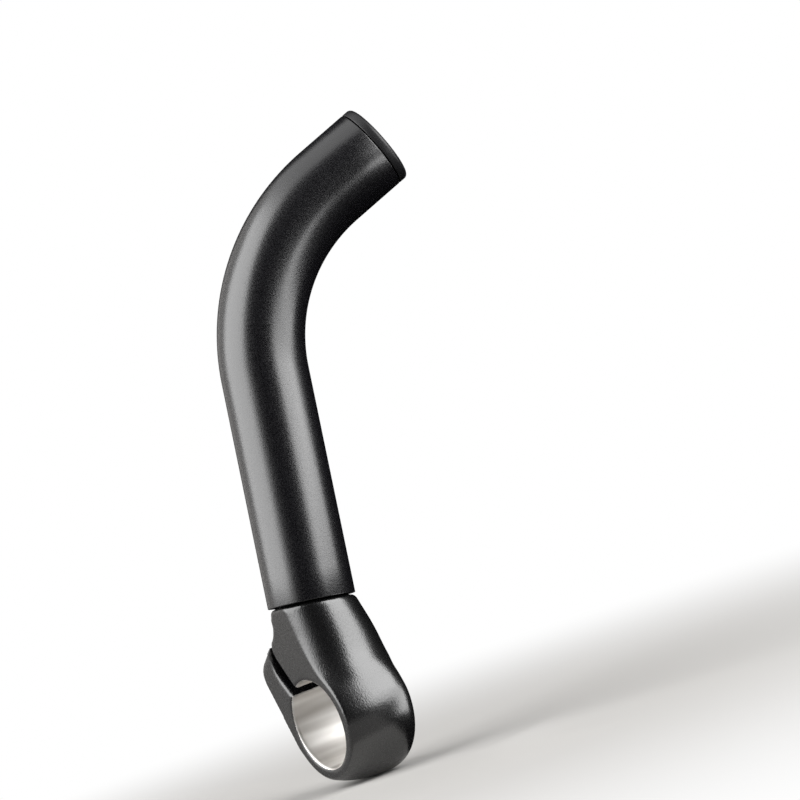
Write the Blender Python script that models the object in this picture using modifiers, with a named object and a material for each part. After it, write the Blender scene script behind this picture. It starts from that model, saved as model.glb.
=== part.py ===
"""A bicycle bar end: a forged clamp with a split handlebar bore, carrying a bent round grip tube.

Metres, +Z up. The origin is on the bore's axis, in the clamp ring's middle plane.
+X runs along the bore from the flat outer face to the rounded inner end, and the grip rises along +Z.
"""

import math

import bmesh
import bpy
from mathutils import Matrix, Vector

MM = 0.001

# Gap kept between two pieces that touch or that fit into each other
FIT_GAP = 0.3 * MM
MERGE_DISTANCE = 0.01 * MM
# How far a cutter runs past the surface that it cuts
OVERCUT = 6.0 * MM
# Edges sharper than this are rounded
SHARP_ANGLE = math.radians(60.0)
# A cross-section of this squareness is a true ellipse, and a greater one is boxier
ELLIPSE = 2.0

# Bore for a straight handlebar, 22.2 mm outside
BORE_DIAMETER = 22.4 * MM
BORE_CHAMFER = 0.5 * MM

# Clamp ring: a barrel turned about the bore's axis, cut off flat on its outer side.
# Its wall is thickest in the middle plane.
RING_WALL = 5.6 * MM
RING_BULGE_RADIUS = 19.5 * MM
RING_OUTER_DEPTH = 9.7 * MM
RING_INNER_DEPTH = 10.7 * MM
RING_END_ROUNDING = 3.2 * MM
# Metal turned beyond the flat outer face, before that face is cut
RING_FACE_STOCK = 2.0 * MM
RING_STEPS = 64

# Grip tube, and how its axis runs from where it meets the clamp
TUBE_DIAMETER = 22.0 * MM
TUBE_WALL = 1.8 * MM
TUBE_LEAN = math.radians(8.7)
GRIP_LENGTH = 57.5 * MM
BEND_RADIUS = 50.0 * MM
BEND_ANGLE = math.radians(60.0)
BEND_TO_FRONT = math.radians(25.0)
TIP_LENGTH = 14.0 * MM
BEND_STEPS = 14
TUBE_BEVEL_RESOLUTION = 14

# Neck between the ring and the tube. It flares from the ring's width to the tube's.
NECK_HEIGHT = 12.0 * MM
NECK_WAIST_INSET = 0.6 * MM
NECK_BACK_SHIFT = 1.0 * MM
NECK_FLARE_BELOW_JOINT = 4.3 * MM
NECK_FLARE_INTO_RING = 6.3 * MM
NECK_FLARE_INSET = 2.3 * MM
NECK_END_INSET = 0.2 * MM
NECK_SQUARENESS = 2.5
NECK_BACK_SQUARENESS = 2.4
NECK_RINGS = 12
NECK_SIDES = 48
SHOULDER_HEIGHT = 2.4 * MM
SHOULDER_ROUNDING = 0.9 * MM
# Metal faced off the shoulder and the web together, so that the tube meets one flat
SHOULDER_FACING = 0.05 * MM
SHOULDER_STEPS = 4

# Spigot of the clamp inside the tube, and how far its root goes down into the neck
SPIGOT_LENGTH = 22.0 * MM
SPIGOT_ROOT = 2.0 * MM
SPIGOT_CHAMFER = 1.5 * MM

# Slit and the lug that the clamp bolt crosses. The slit's angle is from the tube towards the back.
SLIT_ANGLE = math.radians(31.5)
SLIT_WIDTH = 3.0 * MM
LUG_WALL = 1.65 * MM
LUG_CORNER = 4.2 * MM
LUG_FOOT = 2.0 * MM
LUG_TAPER = math.radians(14.0)
LUG_END_INSET = 1.9 * MM
LUG_EDGE = 3.0 * MM
# The web that ties the lug to the neck: its back lies this far inside the tube's back
WEB_INSET = 5.5 * MM
WEB_FILLET = 5.0 * MM

# Clamp bolt, M6 with a socket head, its spring lock washer and their holes
BOLT_DIAMETER = 6.0 * MM
BOLT_LENGTH = 16.0 * MM
BOLT_CLEARANCE = 0.3 * MM
BOLT_WALL = 2.7 * MM
BOLT_POINT = 0.8 * MM
HEAD_DIAMETER = 10.0 * MM
HEAD_HEIGHT = 6.0 * MM
HEAD_EDGE = 0.5 * MM
SOCKET_WIDTH = 5.0 * MM
SOCKET_DEPTH = 3.0 * MM
COUNTERBORE_CLEARANCE = 0.35 * MM
COUNTERBORE_DEPTH = 6.0 * MM
SEAT_WALL = 2.4 * MM
HOLE_END_ROOM = 1.5 * MM
DRILL_POINT_ANGLE = math.radians(118.0)
WASHER_INSET = 0.05 * MM
WASHER_THICKNESS = 1.6 * MM
WASHER_SPLIT = 0.8 * MM
BOLT_STEPS = 32

# Plastic plug in the tube's open end
PLUG_FLANGE = 2.5 * MM
PLUG_FLANGE_EDGE = 1.0 * MM
PLUG_DOME = 0.4 * MM
PLUG_STEM_LENGTH = 12.0 * MM
PLUG_WALL = 1.6 * MM
PLUG_LEAD_IN = 1.0 * MM
PLUG_STEPS = 44
ARC_STEPS = 6

# Colours, linear
PAINT_BLACK = (0.012, 0.012, 0.013, 1.0)
TUBE_BLACK = (0.016, 0.016, 0.018, 1.0)
PLASTIC_BLACK = (0.014, 0.014, 0.015, 1.0)
STEEL_BLACK = (0.035, 0.035, 0.037, 1.0)


# Sizes that follow from the ones above
BORE_RADIUS = BORE_DIAMETER / 2
RING_RADIUS = BORE_RADIUS + RING_WALL
JOINT_HEIGHT = RING_RADIUS + NECK_HEIGHT
NECK_FLARE_TOP = JOINT_HEIGHT - NECK_FLARE_BELOW_JOINT
NECK_FLARE_BOTTOM = RING_RADIUS - NECK_FLARE_INTO_RING
TUBE_RADIUS = TUBE_DIAMETER / 2
TUBE_INNER_RADIUS = TUBE_RADIUS - TUBE_WALL
SPIGOT_RADIUS = TUBE_INNER_RADIUS - FIT_GAP
OUTER_FACE_X = -RING_OUTER_DEPTH
INNER_END_X = RING_INNER_DEPTH
# Width of a cutter that takes away everything on its side
CUTTER_SPAN = 8 * RING_RADIUS

JOINT = Vector((0.0, 0.0, JOINT_HEIGHT))
TUBE_AXIS = Vector((math.sin(TUBE_LEAN), 0.0, math.cos(TUBE_LEAN)))
LEAN_SIDE = Vector((math.cos(TUBE_LEAN), 0.0, -math.sin(TUBE_LEAN)))
BEND_SIDE = LEAN_SIDE * math.cos(BEND_TO_FRONT) - Vector((0.0, math.sin(BEND_TO_FRONT), 0.0))
TIP_AXIS = TUBE_AXIS * math.cos(BEND_ANGLE) + BEND_SIDE * math.sin(BEND_ANGLE)

SLIT_OUT = Vector((0.0, math.sin(SLIT_ANGLE), math.cos(SLIT_ANGLE)))
BOLT_OUT = Vector((0.0, math.cos(SLIT_ANGLE), -math.sin(SLIT_ANGLE)))

# The bolt's axis stands clear of the bore, and the lug closes round the hole for its head
BOLT_HOLE_RADIUS = BOLT_DIAMETER / 2 + BOLT_CLEARANCE
COUNTERBORE_RADIUS = HEAD_DIAMETER / 2 + COUNTERBORE_CLEARANCE
BOLT_REACH = BORE_RADIUS + BOLT_WALL + BOLT_HOLE_RADIUS
LUG_REACH = BOLT_REACH + COUNTERBORE_RADIUS + LUG_WALL

# Along the bolt's axis, counted from the slit's middle plane
SEAT = SLIT_WIDTH / 2 + SEAT_WALL
LUG_THICKNESS = SEAT + COUNTERBORE_DEPTH
WASHER_SEAT = SEAT + FIT_GAP
HEAD_SEAT = WASHER_SEAT + WASHER_THICKNESS + FIT_GAP
WASHER_RADIUS = HEAD_DIAMETER / 2 - WASHER_INSET

LUG_INNER_X = INNER_END_X - LUG_END_INSET
WEB_BACK = TUBE_RADIUS - WEB_INSET


def clear_scene():
    for old in list(bpy.data.objects):
        bpy.data.objects.remove(old)


def new_collection(name):
    collection = bpy.data.collections.new(name)
    bpy.context.scene.collection.children.link(collection)
    return collection


def new_material(name, colour, roughness, metallic):
    material = bpy.data.materials.new(name)
    material.use_nodes = True
    shader = material.node_tree.nodes["Principled BSDF"]
    shader.inputs["Base Color"].default_value = colour
    shader.inputs["Roughness"].default_value = roughness
    shader.inputs["Metallic"].default_value = metallic
    return material


def new_object(name, mesh, matrix, collection):
    piece = bpy.data.objects.new(name, mesh)
    piece.matrix_world = matrix
    collection.objects.link(piece)
    return piece


def axis_matrix(point, z_axis, x_hint):
    """The placement that puts local +Z on z_axis, and local +X as near x_hint as it can be."""
    z_axis = z_axis.normalized()
    y_axis = z_axis.cross(x_hint).normalized()
    x_axis = y_axis.cross(z_axis)
    turn = Matrix((x_axis, y_axis, z_axis)).transposed()
    return Matrix.Translation(point) @ turn.to_4x4()


def arc(centre, radius, start, end, steps):
    """Points of an arc in a profile's (radius, height) plane, angles from the radius direction."""
    points = []
    for step in range(steps + 1):
        angle = start + (end - start) * step / steps
        points.append((centre[0] + radius * math.cos(angle), centre[1] + radius * math.sin(angle)))
    return points


def turned(name, profile, matrix, steps, collection, closed=False):
    """A profile of (radius, height) points turned about local Z, running down its outer side."""
    mesh = bpy.data.meshes.new(name)
    edges = [(i, i + 1) for i in range(len(profile) - 1)]
    if closed:
        edges.append((len(profile) - 1, 0))
    mesh.from_pydata([(radius, 0.0, height) for radius, height in profile], edges, [])
    piece = new_object(name, mesh, matrix, collection)
    screw = piece.modifiers.new("turn", "SCREW")
    screw.axis = "Z"
    screw.angle = 2 * math.pi
    screw.steps = steps
    screw.render_steps = steps
    screw.use_merge_vertices = True
    screw.merge_threshold = MERGE_DISTANCE
    return piece


def box(name, size, matrix, collection):
    """A box of size (x, y, z) with its centre at the matrix's origin."""
    mesh = bpy.data.meshes.new(name)
    bm = bmesh.new()
    bmesh.ops.create_cube(bm, size=1.0)
    bmesh.ops.scale(bm, vec=size, verts=bm.verts)
    bm.to_mesh(mesh)
    bm.free()
    return new_object(name, mesh, matrix, collection)


def hide_tool(tool):
    """Marks a piece that only cuts or joins another, so that it isn't part of the model."""
    tool.hide_render = True
    tool.display_type = "WIRE"
    return tool


def boolean(piece, tool, operation):
    modifier = piece.modifiers.new(tool.name, "BOOLEAN")
    modifier.operation = operation
    modifier.solver = "EXACT"
    modifier.object = hide_tool(tool)


def finish_piece(piece, material):
    piece.data.materials.clear()
    piece.data.materials.append(material)
    piece.data.shade_smooth()


def ring_profile():
    """The barrel's profile along the bore, from the inner end down to past the outer face."""
    bulge_centre = RING_RADIUS - RING_BULGE_RADIUS
    corner_height = INNER_END_X - RING_END_ROUNDING
    corner_out = math.sqrt((RING_BULGE_RADIUS - RING_END_ROUNDING) ** 2 - corner_height**2)
    corner_radius = bulge_centre + corner_out
    meet = math.atan2(corner_height, corner_out)
    past_face = math.asin((OUTER_FACE_X - RING_FACE_STOCK) / RING_BULGE_RADIUS)
    corner = arc((corner_radius, corner_height), RING_END_ROUNDING, math.pi / 2, meet, ARC_STEPS)
    bulge = arc((bulge_centre, 0.0), RING_BULGE_RADIUS, meet, past_face, 2 * ARC_STEPS)
    bottom = bulge[-1][1]
    return [(0.0, INNER_END_X)] + corner + bulge[1:] + [(0.0, bottom)]


def smooth_step(value):
    value = min(max(value, 0.0), 1.0)
    return value * value * (3 - 2 * value)


def neck_section(bm, centre, half_x, half_y, front, back, tilt):
    """One ring of the neck: an oval with its own squareness at front and back, tilted about Y."""
    turn = Matrix.Rotation(tilt, 3, "Y")
    verts = []
    for side in range(NECK_SIDES):
        angle = 2 * math.pi * side / NECK_SIDES
        power = 2 / (back if math.sin(angle) > 0 else front)
        across = math.copysign(abs(math.cos(angle)) ** power, math.cos(angle)) * half_x
        along = math.copysign(abs(math.sin(angle)) ** power, math.sin(angle)) * half_y
        verts.append(bm.verts.new(centre + turn @ Vector((across, along, 0.0))))
    return [bm.edges.new((verts[i - 1], verts[i])) for i in range(NECK_SIDES)]


def neck_mesh():
    """A loft from a wide oval inside the ring up to the round shoulder that the tube meets."""
    bm = bmesh.new()
    loops = []
    waist = TUBE_RADIUS - NECK_WAIST_INSET
    waist_height = JOINT_HEIGHT - SHOULDER_HEIGHT
    wide = RING_RADIUS - NECK_FLARE_INSET
    deep = min(RING_INNER_DEPTH - NECK_END_INSET, TUBE_RADIUS)
    for ring in range(NECK_RINGS + 1):
        height = waist_height * ring / NECK_RINGS
        flare = smooth_step((NECK_FLARE_TOP - height) / (NECK_FLARE_TOP - NECK_FLARE_BOTTOM))
        top = smooth_step((height - NECK_FLARE_BOTTOM) / (waist_height - NECK_FLARE_BOTTOM))
        half_x = waist + (deep - waist) * flare
        half_y = waist + (wide - waist) * flare
        front = ELLIPSE + (NECK_SQUARENESS - ELLIPSE) * flare
        centre = Vector((0.0, NECK_BACK_SHIFT * top * top, height))
        tilt = TUBE_LEAN * top
        loops.append(neck_section(bm, centre, half_x, half_y, front, NECK_BACK_SQUARENESS, tilt))
    for step in range(SHOULDER_STEPS + 1):
        angle = math.pi / 2 * step / SHOULDER_STEPS
        radius = TUBE_RADIUS - SHOULDER_ROUNDING * (1 - math.cos(angle))
        centre = JOINT - TUBE_AXIS * SHOULDER_ROUNDING * (1 - math.sin(angle))
        loops.append(neck_section(bm, centre, radius, radius, ELLIPSE, ELLIPSE, TUBE_LEAN))
    for low, high in zip(loops, loops[1:]):
        bmesh.ops.bridge_loops(bm, edges=low + high)
    bmesh.ops.holes_fill(bm, edges=loops[0] + loops[-1])
    bmesh.ops.recalc_face_normals(bm, faces=bm.faces)
    mesh = bpy.data.meshes.new("neck")
    bm.to_mesh(mesh)
    bm.free()
    return mesh


def lug_outline():
    """The lug's outline as (out of the slit's plane, out along the slit) points."""
    web_along = LUG_REACH + WEB_FILLET
    web_out = (WEB_BACK + WEB_FILLET - web_along * math.sin(SLIT_ANGLE)) / math.cos(SLIT_ANGLE)
    web = arc((web_out, web_along), WEB_FILLET, SLIT_ANGLE - math.pi, -math.pi / 2, ARC_STEPS)
    corner = (LUG_THICKNESS - LUG_CORNER, LUG_REACH - LUG_CORNER)
    round_end = arc(corner, LUG_CORNER, math.pi / 2, LUG_TAPER, ARC_STEPS)
    spread = (round_end[-1][1] - LUG_FOOT) * math.tan(LUG_TAPER)
    foot = (round_end[-1][0] + spread, LUG_FOOT)
    return web + round_end + [foot, (web[0][0], LUG_FOOT)]


def lug(collection):
    """The block at the slit's mouth: a flat curve given its depth, then made a mesh."""
    outline = lug_outline()
    outer = OUTER_FACE_X - OVERCUT
    curve = bpy.data.curves.new("lug_outline", "CURVE")
    curve.dimensions = "2D"
    curve.fill_mode = "BOTH"
    curve.extrude = (LUG_INNER_X - outer) / 2
    spline = curve.splines.new("POLY")
    spline.points.add(len(outline) - 1)
    for point, (out, along) in zip(spline.points, outline):
        point.co = (out, along, 0.0, 1.0)
    spline.use_cyclic_u = True
    turn = Matrix((BOLT_OUT, SLIT_OUT, BOLT_OUT.cross(SLIT_OUT))).transposed().to_4x4()
    middle = Vector(((LUG_INNER_X + outer) / 2, 0.0, 0.0))
    flat = new_object("lug_outline", curve, Matrix.Translation(middle) @ turn, collection)
    piece = curve_to_mesh(flat, "lug", collection)
    bevel = piece.modifiers.new("rounded_edges", "BEVEL")
    bevel.width = LUG_EDGE
    bevel.segments = ARC_STEPS
    bevel.limit_method = "ANGLE"
    bevel.angle_limit = SHARP_ANGLE
    return piece


def curve_to_mesh(flat, name, collection):
    bpy.context.view_layer.update()
    evaluated = flat.evaluated_get(bpy.context.evaluated_depsgraph_get())
    mesh = bpy.data.meshes.new_from_object(evaluated)
    bm = bmesh.new()
    bm.from_mesh(mesh)
    bmesh.ops.remove_doubles(bm, verts=bm.verts, dist=MERGE_DISTANCE)
    bm.to_mesh(mesh)
    bm.free()
    piece = new_object(name, mesh, flat.matrix_world.copy(), collection)
    bpy.data.objects.remove(flat)
    return piece


def bore_cutter(collection):
    """The bore with a chamfer where it leaves each face."""
    mouth = BORE_RADIUS + BORE_CHAMFER
    top = INNER_END_X
    bottom = OUTER_FACE_X
    profile = [
        (0.0, top + OVERCUT),
        (mouth + OVERCUT, top + OVERCUT),
        (mouth, top),
        (BORE_RADIUS, top - BORE_CHAMFER),
        (BORE_RADIUS, bottom + BORE_CHAMFER),
        (mouth, bottom),
        (mouth + OVERCUT, bottom - OVERCUT),
        (0.0, bottom - OVERCUT),
    ]
    placement = axis_matrix(Vector(), Vector((1.0, 0.0, 0.0)), Vector((0.0, 1.0, 0.0)))
    return turned("bore_cutter", profile, placement, RING_STEPS, collection)


def bolt_line(distance):
    """A point on the bolt's axis, its distance counted from the slit's middle plane."""
    return SLIT_OUT * BOLT_REACH + BOLT_OUT * distance


def bolt_hole_cutter(collection):
    """Stepped hole for the bolt: blind in the neck, clear in the lug, and wide for the head."""
    hole = BOLT_HOLE_RADIUS
    wide = COUNTERBORE_RADIUS
    top = LUG_THICKNESS + 2 * OVERCUT
    blind_end = HEAD_SEAT - BOLT_LENGTH - HOLE_END_ROOM
    drill_point = blind_end - hole / math.tan(DRILL_POINT_ANGLE / 2)
    profile = [(0.0, top), (wide, top), (wide, SEAT), (hole, SEAT), (hole, blind_end), (0.0, drill_point)]
    placement = axis_matrix(bolt_line(0.0), BOLT_OUT, Vector((1.0, 0.0, 0.0)))
    return turned("bolt_hole_cutter", profile, placement, BOLT_STEPS, collection)


def clamp_body(parts, cutters, material):
    """The forged clamp: ring, neck and lug in one, with its spigot, faces, bore, slit and bolt hole."""
    bore_axis = axis_matrix(Vector(), Vector((1.0, 0.0, 0.0)), Vector((0.0, 1.0, 0.0)))
    body = turned("clamp_body", ring_profile(), bore_axis, RING_STEPS, parts)
    finish_piece(body, material)

    boolean(body, new_object("neck", neck_mesh(), Matrix.Identity(4), cutters), "UNION")
    boolean(body, lug(cutters), "UNION")

    face_size = Vector((2 * OVERCUT, CUTTER_SPAN, CUTTER_SPAN))
    face_centre = Vector((OUTER_FACE_X - OVERCUT, 0.0, 0.0))
    face = box("face_cutter", face_size, Matrix.Translation(face_centre), cutters)
    boolean(body, face, "DIFFERENCE")

    above_size = Vector((CUTTER_SPAN, CUTTER_SPAN, 2 * OVERCUT))
    above_centre = JOINT + TUBE_AXIS * (OVERCUT - SHOULDER_FACING)
    above_place = axis_matrix(above_centre, TUBE_AXIS, Vector((0.0, 1.0, 0.0)))
    boolean(body, box("joint_cutter", above_size, above_place, cutters), "DIFFERENCE")

    top = SPIGOT_LENGTH
    spigot_profile = [
        (0.0, top),
        (SPIGOT_RADIUS - SPIGOT_CHAMFER, top),
        (SPIGOT_RADIUS, top - SPIGOT_CHAMFER),
        (SPIGOT_RADIUS, -SPIGOT_ROOT),
        (0.0, -SPIGOT_ROOT),
    ]
    spigot_place = axis_matrix(JOINT, TUBE_AXIS, Vector((0.0, 1.0, 0.0)))
    boolean(body, turned("spigot", spigot_profile, spigot_place, PLUG_STEPS, cutters), "UNION")

    boolean(body, bore_cutter(cutters), "DIFFERENCE")

    slit_start = BORE_RADIUS / 2
    slit_end = LUG_REACH + OVERCUT
    slit_size = Vector((SLIT_WIDTH, slit_end - slit_start, CUTTER_SPAN))
    slit_place = axis_matrix(SLIT_OUT * (slit_start + slit_end) / 2, Vector((1.0, 0.0, 0.0)), BOLT_OUT)
    boolean(body, box("slit_cutter", slit_size, slit_place, cutters), "DIFFERENCE")

    boolean(body, bolt_hole_cutter(cutters), "DIFFERENCE")
    return body


def grip_path():
    """Points of the tube's axis, from just above the clamp's shoulder to its open end."""
    start = JOINT + TUBE_AXIS * FIT_GAP
    bend_start = JOINT + TUBE_AXIS * GRIP_LENGTH
    points = [start]
    for step in range(BEND_STEPS + 1):
        angle = BEND_ANGLE * step / BEND_STEPS
        along = TUBE_AXIS * BEND_RADIUS * math.sin(angle)
        across = BEND_SIDE * BEND_RADIUS * (1 - math.cos(angle))
        points.append(bend_start + along + across)
    points.append(points[-1] + TIP_AXIS * TIP_LENGTH)
    return points


def grip_tube(parts, material):
    """The bent tube: a round skin swept along the axis, with its wall added inwards."""
    path = grip_path()
    curve = bpy.data.curves.new("grip_axis", "CURVE")
    curve.dimensions = "3D"
    curve.bevel_depth = TUBE_RADIUS
    curve.bevel_resolution = TUBE_BEVEL_RESOLUTION
    curve.use_fill_caps = False
    spline = curve.splines.new("POLY")
    spline.points.add(len(path) - 1)
    for point, place in zip(spline.points, path):
        point.co = (*place, 1.0)
    piece = curve_to_mesh(new_object("grip_axis", curve, Matrix.Identity(4), parts), "grip_tube", parts)
    wall = piece.modifiers.new("wall", "SOLIDIFY")
    wall.thickness = TUBE_WALL
    wall.offset = -1.0
    wall.use_even_offset = True
    finish_piece(piece, material)
    return piece


def end_plug(parts, material):
    """The plug: a flange that covers the tube's end, and a hollow stem inside the tube."""
    stem = TUBE_INNER_RADIUS - FIT_GAP
    base = FIT_GAP
    edge = base + PLUG_FLANGE
    flat = TUBE_RADIUS - PLUG_FLANGE_EDGE
    dome_radius = (flat**2 + PLUG_DOME**2) / (2 * PLUG_DOME)
    dome_centre = (0.0, edge + PLUG_DOME - dome_radius)
    dome_end = math.acos(flat / dome_radius)
    profile = arc(dome_centre, dome_radius, math.pi / 2, dome_end, ARC_STEPS)
    profile += arc((flat, edge - PLUG_FLANGE_EDGE), PLUG_FLANGE_EDGE, math.pi / 2, 0.0, ARC_STEPS)[1:]
    profile += [
        (TUBE_RADIUS, base),
        (stem, base),
        (stem, base - PLUG_STEM_LENGTH + PLUG_LEAD_IN),
        (stem - PLUG_LEAD_IN / 2, base - PLUG_STEM_LENGTH),
        (stem - PLUG_WALL, base - PLUG_STEM_LENGTH),
        (stem - PLUG_WALL, base),
        (0.0, base),
    ]
    place = axis_matrix(grip_path()[-1], TIP_AXIS, Vector((0.0, 1.0, 0.0)))
    piece = turned("end_plug", profile, place, PLUG_STEPS, parts)
    finish_piece(piece, material)
    return piece


def clamp_bolt(parts, cutters, material):
    """The M6 bolt with its socket head. Its origin is on its axis, under the head."""
    radius = BOLT_DIAMETER / 2
    head = HEAD_DIAMETER / 2
    profile = [
        (0.0, HEAD_HEIGHT),
        (head - HEAD_EDGE, HEAD_HEIGHT),
        (head, HEAD_HEIGHT - HEAD_EDGE),
        (head, 0.0),
        (radius, 0.0),
        (radius, BOLT_POINT - BOLT_LENGTH),
        (radius - BOLT_POINT, -BOLT_LENGTH),
        (0.0, -BOLT_LENGTH),
    ]
    place = axis_matrix(bolt_line(HEAD_SEAT), BOLT_OUT, Vector((1.0, 0.0, 0.0)))
    bolt = turned("clamp_bolt", profile, place, BOLT_STEPS, parts)
    finish_piece(bolt, material)

    socket_mesh = bpy.data.meshes.new("socket_cutter")
    bm = bmesh.new()
    across_corners = SOCKET_WIDTH / math.sqrt(3)
    bmesh.ops.create_cone(
        bm,
        cap_ends=True,
        segments=6,
        radius1=across_corners,
        radius2=across_corners,
        depth=2 * SOCKET_DEPTH,
    )
    bm.to_mesh(socket_mesh)
    bm.free()
    socket_place = place @ Matrix.Translation((0.0, 0.0, HEAD_HEIGHT))
    boolean(bolt, new_object("socket_cutter", socket_mesh, socket_place, cutters), "DIFFERENCE")
    return bolt


def lock_washer(parts, cutters, material):
    """The spring lock washer under the head, split on its inner side."""
    inner = BOLT_DIAMETER / 2 + FIT_GAP
    outer = WASHER_RADIUS
    profile = [(inner, WASHER_THICKNESS), (outer, WASHER_THICKNESS), (outer, 0.0), (inner, 0.0)]
    place = axis_matrix(bolt_line(WASHER_SEAT), BOLT_OUT, Vector((1.0, 0.0, 0.0)))
    washer = turned("lock_washer", profile, place, BOLT_STEPS, parts, closed=True)
    finish_piece(washer, material)

    split_size = Vector((outer + OVERCUT, WASHER_SPLIT, WASHER_THICKNESS + OVERCUT))
    split_centre = Matrix.Translation(((outer + OVERCUT) / 2, 0.0, WASHER_THICKNESS / 2))
    boolean(washer, box("split_cutter", split_size, place @ split_centre, cutters), "DIFFERENCE")
    return washer


def main():
    clear_scene()
    parts = new_collection("bicycle_bar_end")
    cutters = new_collection("cutters")
    paint = new_material("satin_black_paint", PAINT_BLACK, roughness=0.42, metallic=0.0)
    blasted = new_material("blasted_black_tube", TUBE_BLACK, roughness=0.55, metallic=0.2)
    plastic = new_material("black_plastic", PLASTIC_BLACK, roughness=0.4, metallic=0.0)
    steel = new_material("black_oxide_steel", STEEL_BLACK, roughness=0.38, metallic=0.9)

    clamp_body(parts, cutters, paint)
    grip_tube(parts, blasted)
    end_plug(parts, plastic)
    clamp_bolt(parts, cutters, steel)
    lock_washer(parts, cutters, steel)


main()
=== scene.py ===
# %% [markdown]
# # A bicycle bar end, from its solids to its finishes
#
# A bar end is a short bent grip that clamps on the end of a handlebar, so that the rider has
# a second place to hold. This one is a forged clamp in black paint, a bent aluminium tube
# with a black anodised skin, a plastic plug in the tube's open end, and a screw with a
# lock washer that closes the clamp.
#
# The solids come in first and are the truth about size and place. Each piece below is
# modelled again with finer surfaces in the very same place, and rides on the same body.

# %% The solids, and the sizes that every piece shares
import math

import bmesh
import bpy
import numpy as np
from mathutils import Matrix, Vector


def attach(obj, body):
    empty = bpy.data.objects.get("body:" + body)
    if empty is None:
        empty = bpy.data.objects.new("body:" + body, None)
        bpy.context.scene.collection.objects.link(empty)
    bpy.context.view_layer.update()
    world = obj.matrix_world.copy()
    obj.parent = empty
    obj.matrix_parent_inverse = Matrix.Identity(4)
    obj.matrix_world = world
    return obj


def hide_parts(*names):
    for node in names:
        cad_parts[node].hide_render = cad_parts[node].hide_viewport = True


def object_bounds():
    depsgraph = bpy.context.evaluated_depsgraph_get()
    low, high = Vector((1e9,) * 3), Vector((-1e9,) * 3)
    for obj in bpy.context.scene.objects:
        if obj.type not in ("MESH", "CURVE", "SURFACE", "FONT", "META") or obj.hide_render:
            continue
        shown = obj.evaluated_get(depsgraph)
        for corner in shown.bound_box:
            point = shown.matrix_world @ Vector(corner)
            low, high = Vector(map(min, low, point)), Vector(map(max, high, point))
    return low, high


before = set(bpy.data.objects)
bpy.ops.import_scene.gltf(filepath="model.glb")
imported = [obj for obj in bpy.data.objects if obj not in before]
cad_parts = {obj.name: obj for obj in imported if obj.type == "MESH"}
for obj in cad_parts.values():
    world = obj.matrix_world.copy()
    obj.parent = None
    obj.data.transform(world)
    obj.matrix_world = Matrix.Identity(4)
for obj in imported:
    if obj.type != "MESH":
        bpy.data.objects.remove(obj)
CAD_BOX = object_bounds()

MM = 0.001
MERGE = 0.002 * MM

TUBE_LEAN = math.radians(8.7)
JOINT = Vector((0.0, 0.0, 28.8)) * MM
TUBE_AXIS = Vector((math.sin(TUBE_LEAN), 0.0, math.cos(TUBE_LEAN)))
LEAN_SIDE = Vector((math.cos(TUBE_LEAN), 0.0, -math.sin(TUBE_LEAN)))
TUBE_RADIUS = 11.0 * MM
BORE_RADIUS = 11.2 * MM
OUTER_FACE_X = -9.7 * MM
INNER_END_X = 10.7 * MM

SLIT_ANGLE = math.radians(31.5)
SLIT_OUT = Vector((0.0, math.sin(SLIT_ANGLE), math.cos(SLIT_ANGLE)))
BOLT_OUT = Vector((0.0, math.cos(SLIT_ANGLE), -math.sin(SLIT_ANGLE)))
BOLT_REACH = 17.2 * MM

X_AXIS = Vector((1.0, 0.0, 0.0))
Y_AXIS = Vector((0.0, 1.0, 0.0))


def box_in_mm(box, places):
    """The two corners of a box in millimetres, rounded for printing."""
    return [[round(value / MM, places) for value in corner] for corner in box]


print("solids:", sorted(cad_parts), "box in mm:", box_in_mm(CAD_BOX, 1))

# %% [markdown]
# ## Helpers for materials
#
# Colours are easiest to note as the hex values that a colour picker shows, but a shader
# adds up light, so it wants them linear. One function does that sum. Another adds a node
# with its settings and links in one go, which keeps each recipe short enough to read.


# %% Colours and nodes
def linear(hex_colour):
    """A hex colour as the linear red, green, blue and alpha of a shader."""
    shares = [int(hex_colour[i : i + 2], 16) / 255 for i in (0, 2, 4)]
    return (*[s / 12.92 if s <= 0.04045 else ((s + 0.055) / 1.055) ** 2.4 for s in shares], 1.0)


def add_node(tree, kind, inputs=None, **settings):
    """A new node: settings are its own properties, inputs are values or sockets to link."""
    node = tree.nodes.new(kind)
    for name, value in settings.items():
        setattr(node, name, value)
    for name, value in (inputs or {}).items():
        if isinstance(value, bpy.types.NodeSocket):
            tree.links.new(value, node.inputs[name])
        else:
            node.inputs[name].default_value = value
    return node


def new_material(name):
    """An empty material: its tree, its surface shader, and its point in object space."""
    material = bpy.data.materials.new(name)
    material.use_nodes = True
    tree = material.node_tree
    shader = tree.nodes["Principled BSDF"]
    place = add_node(tree, "ShaderNodeTexCoord").outputs["Object"]
    return material, tree, shader, place


def per(size):
    """The noise scale whose lumps are about this size."""
    return 1.0 / size


# Nearly all of a noise's values lie between these two
NOISE_SPAN = {"From Min": 0.35, "From Max": 0.65}


# %% [markdown]
# ## Black anodised, bead-blasted aluminium
#
# The tube is aluminium that was blasted with fine beads and then anodised black. The dyed
# oxide layer is hard and glassy, and the metal under that thin layer adds to what it
# mirrors, so a soft lamp draws a clear, wide band along it. An index of 1.9 stands for both.
# It was matched to the photograph, and the paint further down got the same one. The
# blasting breaks the band up into a fine speckle. The dye is a touch violet in the light.
#
# An image could hold the speckle, but noise at the size of the beads needs no seams. The
# real pits are about 0.1 mm, and are drawn at 0.35 mm, as coarse as they need to be to
# show. They change the gloss more than the slope, so the grain stays soft.

# %% Anodised tube material
BLACK_SKIN_INDEX = 1.9
BLAST_PIT = 0.35 * MM
PIT_DEPTH = 0.035 * MM

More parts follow.
